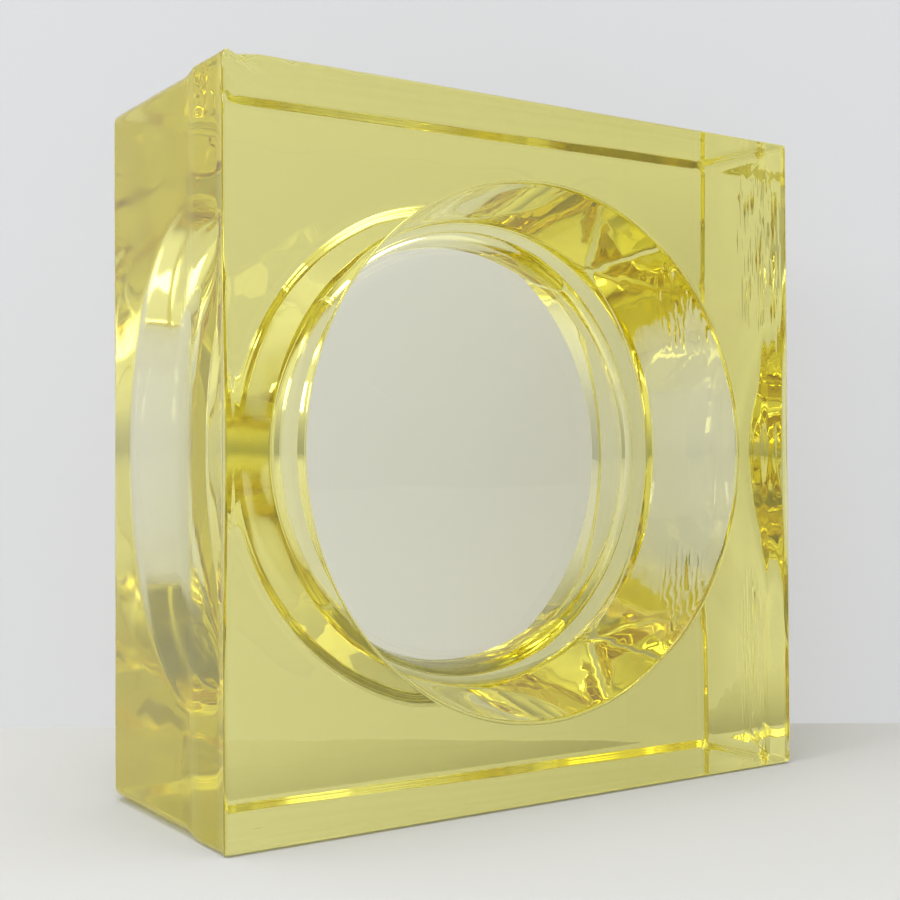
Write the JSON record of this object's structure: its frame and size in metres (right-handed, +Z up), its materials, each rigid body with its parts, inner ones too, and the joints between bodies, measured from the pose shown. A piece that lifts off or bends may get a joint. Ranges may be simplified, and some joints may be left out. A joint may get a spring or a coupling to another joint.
{
  "type": "glass block",
  "caption": "Square block of clear yellow cast glass with a wide round recess in the front and the back and a web of glass between them, stepped in behind the front face.",
  "frame": {"origin": "middle of the footprint, on the level floor that the block stands on", "axes": "+Z up, -Y out of the front face that carries the sharp edges, X across the block; +Y is the depth, the shortest extent"},
  "size_m": [0.1938, 0.0762, 0.1937],
  "materials": {
    "yellow_glass": "clear pale yellow cast glass, bright polished surfaces"
  },
  "bodies": {
    "root": {"glass_block": "yellow_glass"}
  },
  "joints": []
}
